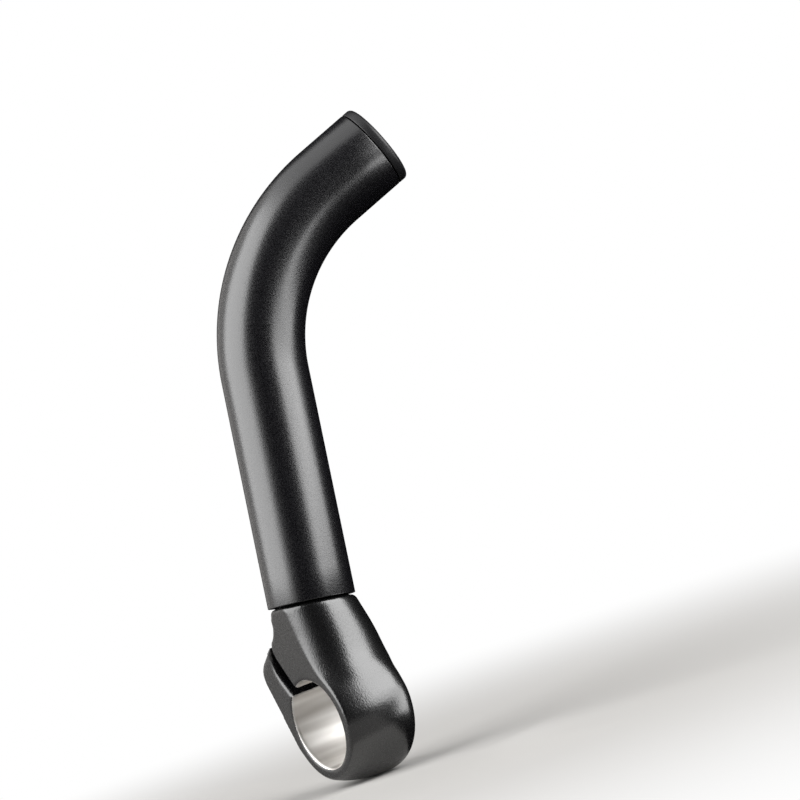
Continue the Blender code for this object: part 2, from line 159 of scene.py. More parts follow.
anodised, tree, shader, place = new_material("black_anodised_blasted_aluminium")
shader.inputs["IOR"].default_value = BLACK_SKIN_INDEX
pits = add_node(tree, "ShaderNodeTexNoise", {"Vector": place, "Scale": per(BLAST_PIT), "Detail": 1.0})
dye = add_node(
    tree,
    "ShaderNodeMix",
    {"Factor": pits.outputs["Fac"], "A": linear("050507"), "B": linear("0E0D12")},
    data_type="RGBA",
)
tree.links.new(dye.outputs["Result"], shader.inputs["Base Color"])
gloss = add_node(
    tree,
    "ShaderNodeMapRange",
    {"Value": pits.outputs["Fac"], **NOISE_SPAN, "To Min": 0.24, "To Max": 0.32},
)
tree.links.new(gloss.outputs["Result"], shader.inputs["Roughness"])
relief = add_node(
    tree,
    "ShaderNodeBump",
    {"Height": pits.outputs["Fac"], "Strength": 0.5, "Distance": PIT_DEPTH},
)
tree.links.new(relief.outputs["Normal"], shader.inputs["Normal"])

# %% [markdown]
# ## Satin black paint, cut away where the bore was machined
#
# The clamp was forged, painted all over in satin black, and bored out last, so the bore is
# bare bright aluminium and the paint ends in a chipped edge at its rim. One material does
# both: how far a point is from the bore's axis says whether there is paint, and a little
# noise frays that edge. The paint has flowed slightly, which gives a fine, streaky
# orange peel, and its gloss changes a little from one lump to the next. The boring tool
# left rings round the bore. Soft lengthwise bands of lighter and darker bare metal are
# painted reflections of the lamps along the bore.

# %% Painted and bored clamp material
PAINT_EDGE = 11.62 * MM
PAINT_FEATHER = 0.02 * MM
CHIP = 0.35 * MM
TOOL_MARK = 0.14 * MM
TOOL_MARK_DEPTH = 0.02 * MM
# Width of the painted reflection bands along the bore
REFLECTION_BAND = 4.5 * MM
PEEL = 0.36 * MM
PEEL_DEPTH = 0.03 * MM

painted, tree, shader, place = new_material("satin_black_paint_over_forged_aluminium")
shader.inputs["IOR"].default_value = BLACK_SKIN_INDEX
across = add_node(
    tree, "ShaderNodeVectorMath", {0: place, 1: (0.0, 1.0, 1.0)}, operation="MULTIPLY"
)
from_axis = add_node(tree, "ShaderNodeVectorMath", {0: across.outputs["Vector"]}, operation="LENGTH")
chips = add_node(tree, "ShaderNodeTexNoise", {"Vector": place, "Scale": per(CHIP), "Detail": 2.0})
frayed = add_node(
    tree,
    "ShaderNodeMath",
    {0: chips.outputs["Fac"], 1: CHIP, 2: from_axis.outputs["Value"]},
    operation="MULTIPLY_ADD",
)
paint = add_node(
    tree,
    "ShaderNodeMapRange",
    {
        "Value": frayed.outputs["Value"],
        "From Min": PAINT_EDGE + CHIP * 0.5 - PAINT_FEATHER,
        "From Max": PAINT_EDGE + CHIP * 0.5 + PAINT_FEATHER,
    },
).outputs["Result"]

# Painted reflection bands: lighter and darker stripes along the bore's axis, in the bare metal's colour
reflection_band_place = add_node(tree, "ShaderNodeMapping", {"Vector": place, "Scale": (0.08, 1.0, 1.0)})
painted_reflection_bands = add_node(
    tree,
    "ShaderNodeTexNoise",
    {"Vector": reflection_band_place.outputs["Vector"], "Scale": per(REFLECTION_BAND), "Detail": 2.0},
)
ring_place = add_node(tree, "ShaderNodeMapping", {"Vector": place, "Scale": (1.0, 0.02, 0.02)})
tool_marks = add_node(
    tree,
    "ShaderNodeTexNoise",
    {"Vector": ring_place.outputs["Vector"], "Scale": per(TOOL_MARK), "Detail": 2.0},
)
reflection_band_share = add_node(tree, "ShaderNodeMapRange", {"Value": painted_reflection_bands.outputs["Fac"], **NOISE_SPAN})
bare_colour_with_painted_reflections = add_node(
    tree,
    "ShaderNodeMix",
    {"Factor": reflection_band_share.outputs["Result"], "A": linear("C6C2BD"), "B": linear("F6F4F1")},
    data_type="RGBA",
)
colour = add_node(
    tree,
    "ShaderNodeMix",
    {"Factor": paint, "A": bare_colour_with_painted_reflections.outputs["Result"], "B": linear("0C0C0D")},
    data_type="RGBA",
)
tree.links.new(colour.outputs["Result"], shader.inputs["Base Color"])
metal = add_node(tree, "ShaderNodeMath", {0: 1.0, 1: paint}, operation="SUBTRACT")
tree.links.new(metal.outputs["Value"], shader.inputs["Metallic"])
peel_place = add_node(tree, "ShaderNodeMapping", {"Vector": place, "Scale": (1.0, 1.0, 0.5)})
peel = add_node(
    tree,
    "ShaderNodeTexNoise",
    {"Vector": peel_place.outputs["Vector"], "Scale": per(PEEL), "Detail": 1.0},
)
satin = add_node(
    tree,
    "ShaderNodeMapRange",
    {"Value": peel.outputs["Fac"], **NOISE_SPAN, "To Min": 0.245, "To Max": 0.275},
)
gloss = add_node(tree, "ShaderNodeMix", {"Factor": paint, "A": 0.5, "B": satin.outputs["Result"]})
tree.links.new(gloss.outputs["Result"], shader.inputs["Roughness"])
peel_relief = add_node(
    tree,
    "ShaderNodeBump",
    {"Height": peel.outputs["Fac"], "Strength": 1.0, "Distance": PEEL_DEPTH},
)
ring_relief = add_node(
    tree,
    "ShaderNodeBump",
    {"Height": tool_marks.outputs["Fac"], "Strength": 0.5, "Distance": TOOL_MARK_DEPTH},
)
relief = add_node(
    tree,
    "ShaderNodeMix",
    {"Factor": paint, "A": ring_relief.outputs["Normal"], "B": peel_relief.outputs["Normal"]},
    data_type="VECTOR",
)
tree.links.new(relief.outputs["Result"], shader.inputs["Normal"])

# %% [markdown]
# ## Moulded plastic and blackened steel
#
# The plug is moulded polyethylene. Its mould was spark eroded, which leaves an even, very
# fine grain that dulls the plastic. The screw and its washer are steel with a black oxide
# finish: still a metal underneath, so it mirrors in dark grey, with brown-black patches
# where the oil in the finish has dried.

# %% Plug and fastener materials
MOULD_GRAIN = 0.25 * MM
MOULD_GRAIN_DEPTH = 0.04 * MM
OIL_PATCH = 1.6 * MM

plastic, tree, shader, place = new_material("black_moulded_polyethylene")
shader.inputs["IOR"].default_value = 1.52
shader.inputs["Roughness"].default_value = 0.42
grain = add_node(tree, "ShaderNodeTexNoise", {"Vector": place, "Scale": per(MOULD_GRAIN), "Detail": 2.0})
tone = add_node(
    tree,
    "ShaderNodeMix",
    {"Factor": grain.outputs["Fac"], "A": linear("101012"), "B": linear("17171A")},
    data_type="RGBA",
)
tree.links.new(tone.outputs["Result"], shader.inputs["Base Color"])
relief = add_node(
    tree,
    "ShaderNodeBump",
    {"Height": grain.outputs["Fac"], "Strength": 0.2, "Distance": MOULD_GRAIN_DEPTH},
)
tree.links.new(relief.outputs["Normal"], shader.inputs["Normal"])

steel, tree, shader, place = new_material("black_oxide_steel")
shader.inputs["Metallic"].default_value = 1.0
oil = add_node(tree, "ShaderNodeTexNoise", {"Vector": place, "Scale": per(OIL_PATCH), "Detail": 3.0})
oxide = add_node(
    tree,
    "ShaderNodeMix",
    {"Factor": oil.outputs["Fac"], "A": linear("2B2826"), "B": linear("48474A")},
    data_type="RGBA",
)
tree.links.new(oxide.outputs["Result"], shader.inputs["Base Color"])
gloss = add_node(
    tree,
    "ShaderNodeMapRange",
    {"Value": oil.outputs["Fac"], "To Min": 0.28, "To Max": 0.46},
)
tree.links.new(gloss.outputs["Result"], shader.inputs["Roughness"])
print("materials:", [m.name for m in (anodised, painted, plastic, steel)])

# %% [markdown]
# ## Helpers that turn, place and finish a piece
#
# Most of these pieces came off a lathe, so most are a short row of (radius, height) points
# spun a full turn. A spin leaves a double row where it closes and a heap of points on its
# axis, so those are merged before the faces are turned to point outwards.


# %% Turning and placing
def axis_matrix(point, z_axis, x_hint):
    """The placement that puts local +Z on z_axis, and local +X as near x_hint as it can be."""
    z_axis = z_axis.normalized()
    y_axis = z_axis.cross(x_hint).normalized()
    turn = Matrix((y_axis.cross(z_axis), y_axis, z_axis)).transposed()
    return Matrix.Translation(point) @ turn.to_4x4()


def row_of(bm, points):
    """Points joined in a row by edges."""
    verts = [bm.verts.new(point) for point in points]
    return verts, [bm.edges.new(pair) for pair in zip(verts, verts[1:])]


def spun(points, steps, placement=None):
    """A closed skin: a row of (radius, height) points turned once round local Z."""
    bm = bmesh.new()
    verts, edges = row_of(bm, [(radius, 0.0, height) for radius, height in points])
    bmesh.ops.spin(
        bm,
        geom=verts + edges,
        cent=(0, 0, 0),
        axis=(0, 0, 1),
        angle=math.tau,
        steps=steps,
        use_merge=True,
    )
    bmesh.ops.remove_doubles(bm, verts=bm.verts, dist=MERGE)
    bmesh.ops.recalc_face_normals(bm, faces=bm.faces)
    if placement:
        bmesh.ops.transform(bm, matrix=placement, verts=bm.verts)
    return bm


def in_mm(points):
    """Rows of numbers in millimetres, as metres."""
    return [tuple(value * MM for value in point) for point in points]


def only(kind, geometry):
    """The elements of one kind, out of what an operator gives back."""
    return [element for element in geometry if isinstance(element, kind)]


def rounded(bm, geometry, width, segments, affect="EDGES"):
    """Rounds edges or corners with a bevel."""
    bmesh.ops.bevel(
        bm,
        geom=geometry,
        offset=width,
        segments=segments,
        profile=0.5,
        affect=affect,
        material=-1,
    )


def new_object(name, bm):
    """An object at the origin that takes over a bmesh."""
    mesh = bpy.data.meshes.new(name)
    bm.to_mesh(mesh)
    bm.free()
    piece = bpy.data.objects.new(name, mesh)
    bpy.context.scene.collection.objects.link(piece)
    return piece


def put_on(piece, body, node, material, crease=32.0):
    """Gives a piece its material, and sets it on its body in place of its plain solid."""
    piece.data.materials.clear()
    piece.data.materials.append(material)
    piece.data.shade_smooth()
    piece.data.set_sharp_from_angle(angle=math.radians(crease))
    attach(piece, body)
    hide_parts(node)
    piece.data.calc_loop_triangles()
    size = [round(v / MM, 1) for v in piece.dimensions]
    print(piece.name, "triangles", len(piece.data.loop_triangles), "size in mm", size)


# %% [markdown]
# ## The bent grip tube
#
# The real tube was cut from straight stock and bent round a former, so its section stays
# round and its axis is straight, then an arc, then straight again. A curve with a round
# bevel would do, but the operators follow the way it was made: a ring of points is
# extruded for the straight part, spun about the former's centre for the bend, and extruded
# again. Solidify then gives the wall, and a small bevel softens both cut ends, because
# a cut tube is always deburred.

# %% Bent tube
# How far along its axis the tube starts and bends, and how long its tip is
GRIP_START_MM, BEND_START_MM, TIP_LENGTH_MM = 0.3, 57.5, 14.0
GRIP_START = JOINT + TUBE_AXIS * GRIP_START_MM * MM
BEND_START = JOINT + TUBE_AXIS * BEND_START_MM * MM
BEND_RADIUS = 50.0 * MM
BEND_ANGLE = math.radians(60.0)
BEND_TO_FRONT = math.radians(25.0)
BEND_SIDE = LEAN_SIDE * math.cos(BEND_TO_FRONT) - Vector((0.0, math.sin(BEND_TO_FRONT), 0.0))
TIP_AXIS = TUBE_AXIS * math.cos(BEND_ANGLE) + BEND_SIDE * math.sin(BEND_ANGLE)
BEND_AXIS = TUBE_AXIS.cross(BEND_SIDE)
BEND_CENTRE = BEND_START + BEND_SIDE * BEND_RADIUS
FROM_CENTRE = TUBE_AXIS * math.sin(BEND_ANGLE) - BEND_SIDE * math.cos(BEND_ANGLE)
BEND_END = BEND_CENTRE + FROM_CENTRE * BEND_RADIUS
TIP_END = BEND_END + TIP_AXIS * TIP_LENGTH_MM * MM
TUBE_SIDES = 128
STRAIGHT_STEPS = 8
BEND_STEPS = 36
TIP_STEPS = 2


def pushed(bm, edges, move):
    """Extrudes a ring of edges by a move, and gives the new ring."""
    grown = bmesh.ops.extrude_edge_only(bm, edges=edges)["geom"]
    bmesh.ops.translate(bm, vec=move, verts=only(bmesh.types.BMVert, grown))
    return [e for e in only(bmesh.types.BMEdge, grown) if all(v in grown for v in e.verts)]


bm = bmesh.new()
placement = axis_matrix(GRIP_START, TUBE_AXIS, LEAN_SIDE)
bmesh.ops.create_circle(bm, segments=TUBE_SIDES, radius=TUBE_RADIUS, matrix=placement)
straight = BEND_START - GRIP_START
ring = list(bm.edges)
for step in range(STRAIGHT_STEPS):
    ring = pushed(bm, ring, straight / STRAIGHT_STEPS)
bent = bmesh.ops.spin(
    bm,
    geom=ring,
    cent=BEND_CENTRE,
    axis=BEND_AXIS,
    angle=BEND_ANGLE,
    steps=BEND_STEPS,
    use_merge=False,
)["geom_last"]
ring = only(bmesh.types.BMEdge, bent)
for step in range(TIP_STEPS):
    ring = pushed(bm, ring, TIP_AXIS * (TIP_LENGTH_MM / TIP_STEPS) * MM)
bmesh.ops.recalc_face_normals(bm, faces=bm.faces)

# %% [markdown]
# The open skin has no inside yet, so what "outwards" means has to be checked against the
# tube's axis before the wall is added.

# %% Wall and deburred ends
WALL = 1.8 * MM
DEBURR = 0.16 * MM

first = min(bm.faces, key=lambda f: f.calc_center_median().z)
outwards = first.calc_center_median() - GRIP_START
if first.normal.dot(outwards - TUBE_AXIS * outwards.dot(TUBE_AXIS)) < 0:
    bmesh.ops.reverse_faces(bm, faces=bm.faces)
grip = new_object("bent_grip_tube", bm)
wall = grip.modifiers.new("wall", "SOLIDIFY")
wall.thickness = WALL
wall.offset = -1.0
wall.use_even_offset = True
deburr = grip.modifiers.new("deburred_ends", "BEVEL")
deburr.width = DEBURR
deburr.segments = 3
deburr.limit_method = "ANGLE"
deburr.angle_limit = math.radians(60.0)
put_on(grip, "clamp", "grip_tube", anodised, crease=60.0)

# %% [markdown]
# ## The end plug
#
# The plug is one moulding: a flange as wide as the tube, slightly domed, on a hollow stem
# that grips the bore of the tube. A small dimple in the middle is where the plastic was
# fed into the mould. It is a turned shape, so its profile is spun, and the flange's rim
# is rounded by a bevel, as the edge of a mould cavity is.

# %% Plug
PLUG_INNER = 8.9 * MM
PLUG_BASE = 0.3 * MM
FLANGE_TOP = PLUG_BASE + 2.5 * MM
DOME = 0.4 * MM
DOME_FLAT = 10.0 * MM
DIMPLE = 0.28 * MM
FLANGE_EDGE = FLANGE_TOP + 0.02 * MM
FLANGE_ROUNDING = 1.0 * MM
HEEL_ROUNDING = 0.2 * MM
dome_radius = (DOME_FLAT**2 + DOME**2) / (2 * DOME)


def dome_height(radius):
    """How high the dome of the flange is at a distance from its middle."""
    return FLANGE_TOP + DOME - dome_radius + math.sqrt(dome_radius**2 - radius**2)


def outer_circle(bm, height):
    """The edges round the flange at a height."""

    def on_it(v):
        return abs(v.co.z - height) < MERGE and v.co.xy.length > TUBE_RADIUS - MERGE

    return [e for e in bm.edges if all(on_it(v) for v in e.verts)]


face = [(r * MM, dome_height(r * MM)) for r in (1.9, 2.6, 3.6, 4.8, 6.0, 7.2, 8.4, 9.3)]
profile = [
    (0.0, dome_height(0.0) - DIMPLE),
    (1.3 * MM, dome_height(0.0) - DIMPLE),
    (1.6 * MM, dome_height(0.0) - 0.05 * MM),
    *face,
    (TUBE_RADIUS, FLANGE_EDGE),
    (TUBE_RADIUS, PLUG_BASE),
    (PLUG_INNER, PLUG_BASE),
    (PLUG_INNER, PLUG_BASE - 11.0 * MM),
    (PLUG_INNER - 0.5 * MM, PLUG_BASE - 12.0 * MM),
    (PLUG_INNER - 1.6 * MM, PLUG_BASE - 12.0 * MM),
    (PLUG_INNER - 1.6 * MM, PLUG_BASE),
    (0.0, PLUG_BASE),
]
bm = spun(profile, TUBE_SIDES)
rounded(bm, outer_circle(bm, FLANGE_EDGE), FLANGE_ROUNDING, 8)
rounded(bm, outer_circle(bm, PLUG_BASE), HEEL_ROUNDING, 3)
bmesh.ops.transform(bm, matrix=axis_matrix(TIP_END, TIP_AXIS, Y_AXIS), verts=bm.verts)
plug = new_object("tube_end_plug", bm)
put_on(plug, "clamp", "end_plug", plastic, crease=40.0)

# %% [markdown]
# ## The clamp screw
#
# This is an M6 socket head screw with a 1 mm thread. A real thread is a V shape carried up a
# helix, and spin can do just that: its dvec lifts the profile a little at each step. One
# pitch of profile turned eighteen times gives a skin whose turns meet, so merging them
# closes it. The ends are cut flat and filled, and the point is coned to lead into the hole.

# %% Thread
HEAD_SEAT = 6.1 * MM
BOLT_LENGTH = 16.0 * MM
THREAD_MAJOR = 3.0 * MM
THREAD_MINOR = 2.46 * MM
PITCH = 1.0 * MM
THREAD_STEPS = 48
TURNS = 18
THREAD_TOP = 0.4 * MM
POINT_RADIUS = 2.2 * MM

bm = bmesh.new()
flank = [
    (THREAD_MINOR, 0.0),
    (THREAD_MINOR, 0.25),
    (THREAD_MAJOR, 0.5625),
    (THREAD_MAJOR, 0.6875),
    (THREAD_MINOR, 1.0),
]
start = -BOLT_LENGTH - PITCH
verts, edges = row_of(bm, [(radius, 0.0, start + share * PITCH) for radius, share in flank])
bmesh.ops.spin(
    bm,
    geom=verts + edges,
    cent=(0, 0, 0),
    axis=(0, 0, 1),
    dvec=(0, 0, PITCH / THREAD_STEPS),
    angle=math.tau * TURNS,
    steps=THREAD_STEPS * TURNS,
    use_merge=False,
)
bmesh.ops.remove_doubles(bm, verts=bm.verts, dist=MERGE)
for height, side in ((-BOLT_LENGTH, -1.0), (THREAD_TOP, 1.0)):
    cut = bmesh.ops.bisect_plane(
        bm,
        geom=list(bm.verts) + list(bm.edges) + list(bm.faces),
        plane_co=(0, 0, height),
        plane_no=(0, 0, side),
        clear_outer=True,
    )["geom_cut"]
    bmesh.ops.holes_fill(bm, edges=only(bmesh.types.BMEdge, cut))
for v in bm.verts:
    radius = v.co.xy.length
    cone = POINT_RADIUS + (v.co.z + BOLT_LENGTH)
    if radius > cone:
        v.co.xy *= cone / radius
bmesh.ops.recalc_face_normals(bm, faces=bm.faces)
thread = new_object("thread", bm)

# %% [markdown]
# The head is turned, then knurled so that fingers can run the screw in: every second row of
# points round its side is pressed in a little. The hexagon for the key is cut by a six-sided
# prism with a cone at its end, because the real socket starts as a drilled hole.

# %% Head and socket
HEAD_RADIUS = 5.0 * MM
HEAD_HEIGHT = 6.0 * MM
KNURLS = 60
KNURL_DEPTH = 0.17 * MM
KNURL_BOTTOM, KNURL_TOP = 1.1 * MM, 5.0 * MM
KEY_WIDTH = 5.0 * MM
DRILL_SIDES = 48
head_profile = [
    (0.0, 0.0),
    (HEAD_RADIUS - 0.3 * MM, 0.0),
    (HEAD_RADIUS, 0.3 * MM),
    (HEAD_RADIUS, 1.0 * MM),
    (HEAD_RADIUS, 1.2 * MM),
    (HEAD_RADIUS, 4.9 * MM),
    (HEAD_RADIUS, 5.1 * MM),
    (HEAD_RADIUS, 5.5 * MM),
    (HEAD_RADIUS - 0.15 * MM, 5.86 * MM),
    (HEAD_RADIUS - 0.5 * MM, HEAD_HEIGHT),
    (0.0, HEAD_HEIGHT),
]
bm = spun(head_profile, 2 * KNURLS)
for v in bm.verts:
    turn = round(math.atan2(v.co.y, v.co.x) / math.tau * 2 * KNURLS)
    if KNURL_BOTTOM < v.co.z < KNURL_TOP and turn % 2:
        v.co.xy *= 1 - KNURL_DEPTH / HEAD_RADIUS
head = new_object("screw_head", bm)

bm = bmesh.new()
key = KEY_WIDTH / math.sqrt(3)
bmesh.ops.create_cone(bm, cap_ends=True, segments=6, radius1=key, radius2=key, depth=HEAD_HEIGHT)
bmesh.ops.translate(bm, vec=(0, 0, HEAD_HEIGHT), verts=bm.verts)
hexagon = new_object("socket_hexagon", bm)
drill = [(0.0, 2.1), (2.35, 3.2), (2.35, 5.7), (3.1, 6.5), (0.0, 6.5)]
drilled = new_object("socket_drill", spun(in_mm(drill), DRILL_SIDES))


# %% [markdown]
# A boolean joins or cuts whole solids. The modifier is added, its result is taken as a new
# mesh, and the tool is thrown away, so each piece ends as one plain closed mesh.


# %% Joining and cutting
def baked(piece):
    """Puts what a piece's modifiers make into its mesh."""
    bpy.context.view_layer.update()
    seen = piece.evaluated_get(bpy.context.evaluated_depsgraph_get())
    shaped = bpy.data.meshes.new_from_object(seen)
    piece.modifiers.clear()
    piece.data = shaped


def combine(piece, tool, operation):
    """Joins a tool to a piece or cuts it away, and removes the tool."""
    modifier = piece.modifiers.new(tool.name, "BOOLEAN")
    modifier.operation = operation
    modifier.solver = "EXACT"
    modifier.object = tool
    baked(piece)
    bpy.data.objects.remove(tool)


combine(head, hexagon, "DIFFERENCE")
combine(head, drilled, "DIFFERENCE")
combine(head, thread, "UNION")
head.name = "socket_head_screw"
head.data.transform(axis_matrix(SLIT_OUT * BOLT_REACH + BOLT_OUT * HEAD_SEAT, BOLT_OUT, X_AXIS))
put_on(head, "bolt", "clamp_bolt", steel)

# %% [markdown]
# ## The split lock washer
#
# A lock washer is a bar of square spring steel coiled one turn and cut through, with its
# two ends sprung slightly apart, so that they bite. Spin makes it as it is made: a square
# is turned almost a full turn with a small rise, and the two ends are closed.

# %% Lock washer
WASHER_SEAT = 4.2 * MM
WASHER_RISE = 0.18 * MM
WASHER_INNER, WASHER_OUTER = 3.3 * MM, 4.95 * MM
WASHER_LOW, WASHER_HIGH = 0.02 * MM, 1.58 * MM - WASHER_RISE
WASHER_STEPS = 72
WASHER_ROUNDING = 0.12 * MM
SQUARE_CORNER = math.radians(50.0)
SPLIT_WIDTH = 0.8 * MM
SPLIT_RADIUS = 4.1 * MM

split = SPLIT_WIDTH / SPLIT_RADIUS
bm = bmesh.new()
corners = [
    (WASHER_INNER, 0, WASHER_LOW),
    (WASHER_OUTER, 0, WASHER_LOW),
    (WASHER_OUTER, 0, WASHER_HIGH),
    (WASHER_INNER, 0, WASHER_HIGH),
]
verts, edges = row_of(bm, corners)
edges.append(bm.edges.new((verts[-1], verts[0])))
bmesh.ops.rotate(bm, cent=(0, 0, 0), matrix=Matrix.Rotation(split / 2, 3, "Z"), verts=verts)
bmesh.ops.spin(
    bm,
    geom=verts + edges,
    cent=(0, 0, 0),
    axis=(0, 0, 1),
    dvec=(0, 0, WASHER_RISE / WASHER_STEPS),
    angle=math.tau - split,
    steps=WASHER_STEPS,
    use_merge=False,
)
bmesh.ops.holes_fill(bm, edges=[e for e in bm.edges if len(e.link_faces) == 1])
bmesh.ops.recalc_face_normals(bm, faces=bm.faces)
rims = [e for e in bm.edges if len(e.link_faces) == 2 and e.calc_face_angle() > SQUARE_CORNER]
rounded(bm, rims, WASHER_ROUNDING, 2)
washer = new_object("split_lock_washer", bm)
washer.data.transform(
    axis_matrix(SLIT_OUT * BOLT_REACH + BOLT_OUT * WASHER_SEAT, BOLT_OUT, X_AXIS)
)
put_on(washer, "washer", "lock_washer", steel)

# %% [markdown]
# ## The forged clamp
#
# A forging has no sharp inner corners: metal flows from the ring into the neck and the lug
# through soft blends. Hard solids are joined first: a turned barrel, a neck lofted from
# ovals, and the lug. Then a voxel remesh gives them one even skin, and smoothing that skin
# pulls the joints into blends. Only after that come the cuts that a machine made.

# %% Barrel of the ring
ROUNDING = 6.2 * MM
ROUND_CENTRE = (10.5 * MM, INNER_END_X - ROUNDING)
CROWN = [
    (16.76, 3.4),
    (16.8, 1.4),
    (16.68, -0.6),
    (16.42, -2.6),
    (16.0, -4.6),
    (15.25, -7.2),
    (14.2, -9.7),
    (13.2, -11.7),
]
RING_SIDES = 160
turns = [math.radians(90.0 - 5.0 * step) for step in range(17)]
corner = [
    (ROUND_CENTRE[0] + ROUNDING * math.cos(t), ROUND_CENTRE[1] + ROUNDING * math.sin(t))
    for t in turns
]
crown = in_mm(CROWN)
barrel_profile = [(0.0, INNER_END_X), *corner, *crown, (0.0, crown[-1][1])]
bore_axis = axis_matrix(Vector(), X_AXIS, Y_AXIS)
clamp = new_object("forged_clamp", spun(barrel_profile, RING_SIDES, bore_axis))

# %% [markdown]
# The neck is a round cone under the tube and widens to a squared oval inside the ring. Each
# section starts as a plain circle of points. A short table gives the front its radius and
# its shift at a few heights, the back is an oval that a power of sine and cosine squares
# up, and bridging the sections makes the loft. The last sections shrink, to round the
# shoulder that the tube stands on.

# %% Neck
NECK_RINGS = 40
NECK_SIDES = 96
FLARE_BOTTOM = 10.5 * MM
NECK_TOP = JOINT.z - 1.9 * MM
NECK_HEIGHTS = [0.0, 10.0, 13.7, 17.0, 21.1, 28.8]
NECK_RADII = [13.2, 13.2, 12.7, 12.2, 11.7, 10.65]
NECK_SHIFT_IN = [0.0, 0.0, 0.6, 0.9, 0.9, 0.3]
RING_HALF_FRONT, RING_HALF_OUTER = 14.4, 12.5
RING_HEIGHTS = [0.0, 6.0, 11.0]
RING_HALVES_INNER = [10.8, 12.0, 13.0]
RING_BLEND_TOP, RING_BLEND = 13.5 * MM, 5.0 * MM
BACK_SHIFT = 0.35 * MM
BACK_AT_TOP, BACK_SWELL = 10.95, 3.55
SWELL_STRETCH, SWELL_DELAY = 1.15, 0.15
# A power of 2 is a true circle, and more than that squares it up
ROUND, INNER_POWER, BACK_POWER, BACK_POWER_GAIN = 2.0, 2.6, 2.4, 0.4
SHOULDER = [(1.1, 0.0), (0.75, 0.06), (0.45, 0.2), (0.2, 0.45), (0.06, 0.75)]


def eased(value):
    """A share from 0 to 1 that starts and ends softly."""
    value = min(max(value, 0.0), 1.0)
    return value * value * (3 - 2 * value)


def squared(value, power):
    """A sine or cosine pushed outwards, so that the circle it draws turns squarer."""
    return math.copysign(abs(value) ** (2 / power), value)


def neck_section(bm, height, tilt_share=None, inset=0.0):
    """One section of the neck at a height above the bore, as a ring of edges."""
    drop = min(max((JOINT.z - height) / (JOINT.z - FLARE_BOTTOM), 0.0), 1.0)
    top = eased(1.0 - drop)
    shift = BACK_SHIFT * top
    radius = np.interp(height / MM, NECK_HEIGHTS, NECK_RADII) * MM - inset
    shift_in = np.interp(height / MM, NECK_HEIGHTS, NECK_SHIFT_IN) * MM
    in_ring = eased((RING_BLEND_TOP - height) / RING_BLEND)
    half_inner = np.interp(height / MM, RING_HEIGHTS, RING_HALVES_INNER)
    swell = eased(drop * SWELL_STRETCH - SWELL_DELAY)
    behind = (BACK_AT_TOP + BACK_SWELL * swell) * MM - shift - inset
    power_behind = ROUND + BACK_POWER_GAIN * min(1.0, 3 * drop)
    verts = bmesh.ops.create_circle(bm, segments=NECK_SIDES, radius=1.0)["verts"]
    for v in verts:
        power, half = (INNER_POWER, half_inner) if v.co.x > 0 else (ROUND, RING_HALF_OUTER)
        if v.co.y > 0:
            side = shift_in + math.copysign(radius, v.co.x)
            x, y = squared(v.co.x, power_behind), squared(v.co.y, power_behind)
            plain = Vector((abs(x) * side, y * behind, 0.0))
            x, y = squared(v.co.x, BACK_POWER), squared(v.co.y, BACK_POWER)
            oval = Vector((x * half * MM, y * behind, 0.0))
        else:
            plain = Vector((shift_in + radius * v.co.x, radius * v.co.y, 0.0))
            x, y = squared(v.co.x, power), squared(v.co.y, power)
            oval = Vector((x * half * MM, y * RING_HALF_FRONT * MM, 0.0))
        v.co = plain.lerp(oval, in_ring)
    tilt = TUBE_LEAN * (top if tilt_share is None else tilt_share)
    placement = Matrix.Translation((0.0, shift, height)) @ Matrix.Rotation(tilt, 4, "Y")
    bmesh.ops.transform(bm, matrix=placement, verts=verts)
    return list({e for v in verts for e in v.link_edges})


def loft(bm, rings):
    """Bridges each ring to the next and closes both ends."""
    for below, above in zip(rings, rings[1:]):
        bmesh.ops.bridge_loops(bm, edges=below + above)
    bmesh.ops.holes_fill(bm, edges=rings[0] + rings[-1])
    bmesh.ops.recalc_face_normals(bm, faces=bm.faces)


bm = bmesh.new()
rings = [neck_section(bm, NECK_TOP * step / NECK_RINGS) for step in range(NECK_RINGS + 1)]
for below_joint, inset in SHOULDER:
    rings.append(neck_section(bm, JOINT.z - below_joint * MM, 1.0, inset * MM))
loft(bm, rings)
combine(clamp, new_object("neck", bm), "UNION")

# %% [markdown]
# The lug is a block at the slit's mouth, for the screw to cross. Its outline is a few corners,
# the outer one rounded by a vertex bevel. Extruding the outline along the bore gives the
# block, and an edge bevel rounds the end that the forging die left soft.

# %% Lug
LUG_OUTER_X = OUTER_FACE_X - 6.0 * MM
LUG_INNER_X = 8.8 * MM
LUG_ROUNDING = 3.0 * MM
LUG_OUTLINE = [
    (-9.842, 26.9),
    (-8.9, 25.2),
    (-6.9, 24.35),
    (-5.4, 23.95),
    (-3.0, 24.2),
    (8.981, 24.2),
    (14.516, 2.0),
    (-9.842, 2.0),
]


def outline(corners, roundings):
    """A flat outline of (out, along) corners in mm, with some corners rounded: {index: offset}."""
    bm = bmesh.new()
    verts = [bm.verts.new((out * MM, along * MM, 0.0)) for out, along in corners]
    bm.faces.new(verts)
    for index, offset in roundings.items():
        place = Vector((*corners[index], 0.0)) * MM
        corner = min(bm.verts, key=lambda v: (v.co - place).length)
        rounded(bm, [corner], offset * MM, 12, "VERTICES")
    return bm


def extruded(bm, length):
    """Turns a flat outline into a block of this length along local Z."""
    grown = bmesh.ops.extrude_face_region(bm, geom=list(bm.faces))["geom"]
    bmesh.ops.translate(bm, vec=(0, 0, length), verts=only(bmesh.types.BMVert, grown))
    bmesh.ops.recalc_face_normals(bm, faces=bm.faces)


bm = outline(LUG_OUTLINE, {5: 3.28})
extruded(bm, LUG_INNER_X - LUG_OUTER_X)
